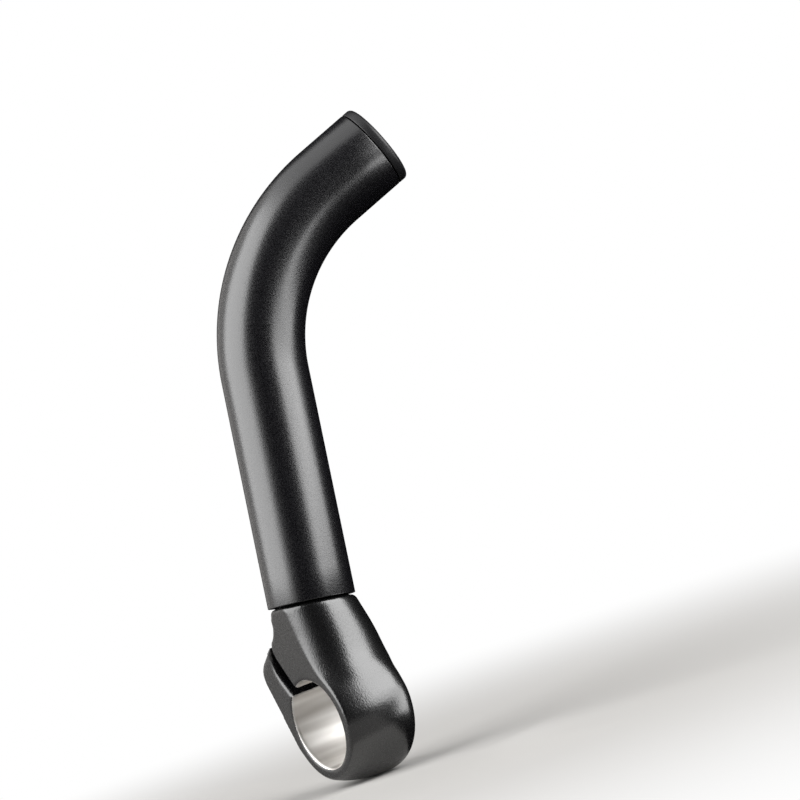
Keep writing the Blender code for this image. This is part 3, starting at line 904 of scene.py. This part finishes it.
# Local Z turns into the part's +X, so the block starts at its outer end
across_slit = Matrix((BOLT_OUT, SLIT_OUT, BOLT_OUT.cross(SLIT_OUT))).transposed().to_4x4()
from_outer_end = Matrix.Translation((LUG_OUTER_X, 0, 0)) @ across_slit
bmesh.ops.transform(bm, matrix=from_outer_end, verts=bm.verts)
soft_end = [e for e in bm.edges if all(v.co.x > LUG_INNER_X - MERGE for v in e.verts)]
rounded(bm, soft_end, LUG_ROUNDING, 8)
combine(clamp, new_object("lug", bm), "UNION")

# %% [markdown]
# Now the even skin, and the blends. Each smoothing pass moves a point towards its
# neighbours. The passes stop lower and lower down, so the blend fades out before it
# reaches the round top of the neck, which has to stay true to the tube. The front of the
# neck flows into the ring in one long sweep, so it gets more passes of its own.

# %% Forged blends
SKIN = 0.4 * MM
BLEND_PASSES, FRONT_PASSES = 24, 50
# Limits of the smoothed regions in mm, and how far each has moved by the last pass
BLEND_TOP, BLEND_TOP_FADE = 25.5, 4.0
FRONT_TOP, FRONT_TOP_FADE = 24.5, 5.0
FRONT_LOW, FRONT_LOW_FADE = 1.0, 3.0
FRONT_SIDE, FRONT_SIDE_FADE = 3.0, 6.0


def reskinned(piece, face_size):
    """Gives a piece one closed skin of small, even faces."""
    skin = piece.modifiers.new("even_skin", "REMESH")
    skin.mode = "VOXEL"
    skin.voxel_size = face_size
    baked(piece)


def smoothed(piece, passes, region):
    """Smoothing passes over the points that region(point, share of the passes done) picks."""
    bm = bmesh.new()
    bm.from_mesh(piece.data)
    for smoothing in range(passes):
        done = smoothing / passes
        picked = [v for v in bm.verts if region(v.co, done)]
        bmesh.ops.smooth_vert(
            bm, verts=picked, factor=0.5, use_axis_x=True, use_axis_y=True, use_axis_z=True
        )
    bm.to_mesh(piece.data)
    bm.free()


def below_shoulder(point, done):
    """All but the top of the neck, and a little less of it at each pass."""
    return point.z < (BLEND_TOP - BLEND_TOP_FADE * done) * MM


def front_of_neck(point, done):
    """The front of the neck, between limits that close in as the passes go on."""
    low = (FRONT_LOW + FRONT_LOW_FADE * done) * MM
    top = (FRONT_TOP - FRONT_TOP_FADE * done) * MM
    return low < point.z < top and point.y < (FRONT_SIDE - FRONT_SIDE_FADE * done) * MM


reskinned(clamp, SKIN)
smoothed(clamp, BLEND_PASSES, below_shoulder)
smoothed(clamp, FRONT_PASSES, front_of_neck)

# %% [markdown]
# The machined surfaces come next, in the order of a machine shop: the spigot for the tube,
# the flat outer face, the bore with a chamfer at each end, the slit, and the stepped hole
# for the screw.

# %% Spigot and flat face
FAR = 60.0 * MM
SPIGOT = [(0.0, -3.4), (8.9, -3.4), (8.9, 20.5), (7.4, 22.0), (0.0, 22.0)]


def block(name, size, placement):
    """A box as an object, to cut with."""
    bm = bmesh.new()
    bmesh.ops.create_cube(bm, size=1.0)
    bmesh.ops.scale(bm, vec=size, verts=bm.verts)
    bmesh.ops.transform(bm, matrix=placement, verts=bm.verts)
    return new_object(name, bm)


tube_place = axis_matrix(JOINT, TUBE_AXIS, Y_AXIS)
combine(clamp, new_object("spigot", spun(in_mm(SPIGOT), TUBE_SIDES, tube_place)), "UNION")
beyond_face = Matrix.Translation((OUTER_FACE_X - FAR / 2, 0, 0))
combine(clamp, block("face", (FAR, 3 * FAR, 3 * FAR), beyond_face), "DIFFERENCE")

# %% [markdown]
# The bore is a turned shape with a wide cone at each end, so cutting it away leaves the
# chamfers too. The slit isn't a straight saw cut: it bends towards the neck at its mouth, so
# it is an outline of corners like the lug, with the bends made by rounding some of them.

# %% Bore, slit and screw hole
CHAMFER = 0.5 * MM
CONE = 6.0 * MM
SLIT_OUTLINE = [
    (-0.95, 6.0),
    (-0.95, 15.0),
    (-1.3, 23.0),
    (-4.5, 24.4),
    (-4.5, 34.0),
    (-1.4, 34.0),
    (-1.4, 24.0),
    (2.4, 21.9),
    (2.7, 16.0),
    (2.1, 6.0),
]
SLIT_ROUNDINGS = {7: 3.9, 3: 1.5, 2: 3.0}
SCREW_HOLE = [(0.0, 22.0), (5.35, 22.0), (5.35, 3.9), (3.3, 3.9), (3.3, -11.4), (0.0, -13.383)]
HOLE_SIDES = 64

mouth = BORE_RADIUS + CHAMFER
bore = [
    (0.0, INNER_END_X + CONE),
    (mouth + CONE, INNER_END_X + CONE),
    (mouth, INNER_END_X),
    (BORE_RADIUS, INNER_END_X - CHAMFER),
    (BORE_RADIUS, OUTER_FACE_X + CHAMFER),
    (mouth, OUTER_FACE_X),
    (mouth + CONE, OUTER_FACE_X - CONE),
    (0.0, OUTER_FACE_X - CONE),
]
combine(clamp, new_object("bore", spun(bore, RING_SIDES, bore_axis)), "DIFFERENCE")

bm = outline(SLIT_OUTLINE, SLIT_ROUNDINGS)
extruded(bm, FAR)
half_back = Matrix.Translation((0, 0, -FAR / 2))
bmesh.ops.transform(bm, matrix=across_slit @ half_back, verts=bm.verts)
combine(clamp, new_object("slit", bm), "DIFFERENCE")

hole_place = axis_matrix(SLIT_OUT * BOLT_REACH, BOLT_OUT, X_AXIS)
hole = spun(in_mm(SCREW_HOLE), HOLE_SIDES, hole_place)
combine(clamp, new_object("screw_hole", hole), "DIFFERENCE")

# %% [markdown]
# Nothing that was painted has a knife edge. A second, finer remesh with a light smoothing
# rounds every cut edge by a third of a millimetre, as deburring and paint do. The rim of
# the lug was ground rounder, so it gets more passes.

# %% Softened edges
FINE_SKIN = 0.36 * MM
EDGE_PASSES = 8
SHARE_FOR_ALL = 0.25
RIM_X, RIM_OUT, RIM_ALONG = -7.0 * MM, 0.9 * MM, 11.5 * MM


def all_then_lug_rim(point, done):
    """Every point for the first passes, and then only the lug's rim."""
    out, along = point.dot(BOLT_OUT), point.dot(SLIT_OUT)
    return done < SHARE_FOR_ALL or (point.x < RIM_X and out > RIM_OUT and along > RIM_ALONG)


reskinned(clamp, FINE_SKIN)
smoothed(clamp, EDGE_PASSES, all_then_lug_rim)
put_on(clamp, "clamp", "clamp_body", painted, crease=75.0)

# %% [markdown]
# ## The camera
#
# The camera stands where the photographer's did. Its place and turn were found by laying
# the solids' outline over the photograph, and it is a little rolled, because there the bar
# end lies at a slant.

# %% Camera
CAMERA_PLACE = Vector((-0.43872, -0.80120, 0.06235))
right = Vector((0.81003, -0.48449, -0.33032))
up = Vector((0.27970, -0.17587, 0.94384))
back = Vector((-0.51538, -0.85693, -0.00695))
lens = bpy.data.cameras.new("camera")
lens.lens = 166.5
lens.sensor_width = 36.0
camera = bpy.data.objects.new("camera", lens)
turn = Matrix((right, up, back)).transposed().to_4x4()
camera.matrix_world = Matrix.Translation(CAMERA_PLACE) @ turn
bpy.context.scene.collection.objects.link(camera)
bpy.context.scene.camera = camera
bpy.context.scene.view_settings.view_transform = "Standard"

# %% [markdown]
# ## The studio
#
# Black gloss shows only what it mirrors, so it is lit by the shapes of the lamps. Two large
# soft boxes stand left and right of the camera and draw the two long bands on the tube.
# Between them, and behind the object, black flags keep the mirror dark, as a photographer's
# would. Only reflections see the flags, and they cast no shadow.

# %% Soft boxes
CENTRE = Vector((0.01, 0.0, 0.06))
FACING = math.atan2(back.y, back.x)


def around(angle, distance, height):
    """A point round the object, its angle counted from the camera to the camera's right."""
    turn = FACING + math.radians(angle)
    return Vector((CENTRE.x + math.cos(turn) * distance, CENTRE.y + math.sin(turn) * distance, height))


def soft_box(name, angle, rise, distance, size, radiance):
    """A lamp that faces the object. Its power is worked out from its brightness."""
    lamp = bpy.data.lights.new(name, "AREA")
    lamp.shape = "RECTANGLE"
    lamp.size, lamp.size_y = size
    lamp.energy = radiance * math.pi * size[0] * size[1]
    box = bpy.data.objects.new(name, lamp)
    rise = math.radians(rise)
    place = around(angle, distance * math.cos(rise), CENTRE.z + distance * math.sin(rise))
    box.matrix_world = axis_matrix(place, place - CENTRE, up.cross(place - CENTRE))
    box.visible_camera = False
    bpy.context.scene.collection.objects.link(box)


soft_box("left_soft_box", angle=-76.0, rise=32.0, distance=1.1, size=(1.38, 1.3), radiance=2.9)
soft_box("right_soft_box", angle=65.0, rise=24.0, distance=1.1, size=(1.1, 1.0), radiance=4.4)

# %% [markdown]
# The floor is a plain pale sheet that carries the object's shadow. Far from the object it
# turns white for the camera and for mirrors, so that it meets the white background
# without a line.

# %% Floor
FLOOR_Z = CAD_BOX[0].z
FLOOR_RADIUS = 6.0
FADE_START, FADE_END = 0.05, 0.35


def seen_directly(tree):
    """1 for rays from the camera, a mirror or a glass, and 0 for those that gather light."""
    ray = add_node(tree, "ShaderNodeLightPath")
    seen = add_node(
        tree,
        "ShaderNodeMath",
        {0: ray.outputs["Is Camera Ray"], 1: ray.outputs["Is Glossy Ray"]},
        operation="MAXIMUM",
    )
    seen = add_node(
        tree,
        "ShaderNodeMath",
        {0: seen.outputs["Value"], 1: ray.outputs["Is Transmission Ray"]},
        operation="MAXIMUM",
    )
    return seen.outputs["Value"]


bm = bmesh.new()
bmesh.ops.create_circle(bm, cap_ends=True, segments=96, radius=FLOOR_RADIUS)
bmesh.ops.translate(bm, vec=(0, 0, FLOOR_Z), verts=bm.verts)
floor = new_object("floor", bm)
paper, tree, shader, place = new_material("pale_paper")
shader.inputs["Base Color"].default_value = linear("C4C2BF")
shader.inputs["Roughness"].default_value = 0.9
away = add_node(tree, "ShaderNodeVectorMath", {0: place}, operation="LENGTH")
fade = add_node(
    tree,
    "ShaderNodeMapRange",
    {"Value": away.outputs["Value"], "From Min": FADE_START, "From Max": FADE_END},
    interpolation_type="SMOOTHSTEP",
)
share = add_node(
    tree,
    "ShaderNodeMath",
    {0: seen_directly(tree), 1: fade.outputs["Result"]},
    operation="MULTIPLY",
)
white = add_node(tree, "ShaderNodeEmission", {"Color": (1, 1, 1, 1), "Strength": 1.0})
mixed = add_node(
    tree,
    "ShaderNodeMixShader",
    {0: share.outputs["Value"], 1: shader.outputs["BSDF"], 2: white.outputs["Emission"]},
)
tree.links.new(mixed.outputs["Shader"], tree.nodes["Material Output"].inputs["Surface"])
floor.data.materials.append(paper)

# %% [markdown]
# The flags are upright curved sheets, and the cloths lie on the floor. Black ones keep a
# reflection dark, and pale ones lift it where the photograph shows a glow. Two small ones
# stand close to the ring: a glowing card that paints a highlight at the foot of the neck,
# and a black flag for the dark end of the ring. The glowing cards are no lamps: they light
# nothing, and only paint highlights that reflections see.

# %% Flags and cloths
# How far off the big sheets stand and how high they reach, in metres
ROOM, ROOM_TOP, CARD_TOP = 0.8, 1.6, 1.0
CLOTH_JOIN = 0.1
ABOVE_FLOOR = 0.3 * MM
# How bright the glowing cards that paint highlights are
CARD_GLOW = 3.8
SWEEP_STEPS = 24


def matt(name, hex_colour):
    """A material with no gloss, and its surface shader."""
    material, _, shader, _ = new_material(name)
    shader.inputs["Base Color"].default_value = linear(hex_colour)
    shader.inputs["Roughness"].default_value = 1.0
    return material, shader


flag_cloth, shader = matt("black_flag_cloth", "050505")
shader.inputs["Specular IOR Level"].default_value = 0.0
grey_cloth, _ = matt("grey_floor_cloth", "8C8A88")
white_card, _ = matt("white_card", "CFCDCB")
# A card that glows but lights nothing: it paints highlights into the reflections
painted_highlight_card, _, shader, _ = new_material("glowing_card_for_painted_highlights")
shader.inputs["Base Color"].default_value = linear("000000")
shader.inputs["Emission Color"].default_value = (1.0, 1.0, 1.0, 1.0)
shader.inputs["Emission Strength"].default_value = CARD_GLOW


def only_in_mirrors(name, bm, material):
    """Makes a sheet a stage piece that only reflections see."""
    panel = new_object(name, bm)
    panel.data.materials.append(material)
    panel.visible_camera = False
    panel.visible_diffuse = False
    panel.visible_shadow = False
    panel.visible_transmission = False


def swept(name, ends, start, end, material):
    """A sheet made by sweeping the line between two points round the object."""
    bm = bmesh.new()
    verts, edges = row_of(bm, ends)
    bmesh.ops.spin(
        bm,
        geom=verts + edges,
        cent=CENTRE,
        axis=(0, 0, 1),
        angle=math.radians(end - start),
        steps=SWEEP_STEPS,
        use_merge=False,
    )
    only_in_mirrors(name, bm, material)


def flag(name, start, end, distance, low, high, material):
    """An upright curved sheet, from one angle to another and from low to high."""
    foot = around(start, distance, low)
    swept(name, [foot, foot + Vector((0, 0, high - low))], start, end, material)


def laid(name, start, end, near, far, material):
    """A sheet laid on the floor, from one angle to another and from near to far."""
    ends = [around(start, distance, FLOOR_Z + ABOVE_FLOOR) for distance in (near, far)]
    swept(name, ends, start, end, material)


flag("front_flag", -36.0, 36.0, ROOM, FLOOR_Z, ROOM_TOP, flag_cloth)
flag("back_flag", 97.0, 204.0, ROOM, FLOOR_Z, ROOM_TOP, flag_cloth)
flag("left_back_card", -156.0, -110.0, ROOM, FLOOR_Z, CARD_TOP, white_card)
# Glowing cards that paint highlights on the foot of the neck and along the tube
flag("near_highlight_card", 42.0, 80.0, 0.034, -13.0 * MM, 9.0 * MM, painted_highlight_card)
flag("far_highlight_card", 40.0, 92.0, 0.25, 8.0 * MM, 60.0 * MM, painted_highlight_card)
flag("ring_flag", 50.0, 130.0, 0.018, FLOOR_Z, 10.0 * MM, flag_cloth)
laid("back_cloth", 32.0, 204.0, 0.004, ROOM, flag_cloth)
laid("front_cloth", -36.0, 32.0, CLOTH_JOIN, ROOM, flag_cloth)
laid("grey_cloth", -156.0, 32.0, 0.03, CLOTH_JOIN, grey_cloth)
laid("left_cloth", -156.0, -36.0, CLOTH_JOIN, ROOM, grey_cloth)

# %% [markdown]
# The world is the white room behind everything. The camera and mirrors see it white, while
# it gives the surfaces only a dim, even fill, so that the soft boxes stay in charge.

# %% World
FILL = 0.3

world = bpy.data.worlds.new("white_room")
bpy.context.scene.world = world
world.use_nodes = True
tree = world.node_tree
level = add_node(tree, "ShaderNodeMapRange", {"Value": seen_directly(tree), "To Min": FILL})
tree.links.new(level.outputs["Result"], tree.nodes["Background"].inputs["Strength"])
tree.nodes["Background"].inputs["Color"].default_value = (1, 1, 1, 1)
# Without this the dim fill would also reach the mirror, past the flags
world.cycles.sampling_method = "NONE"
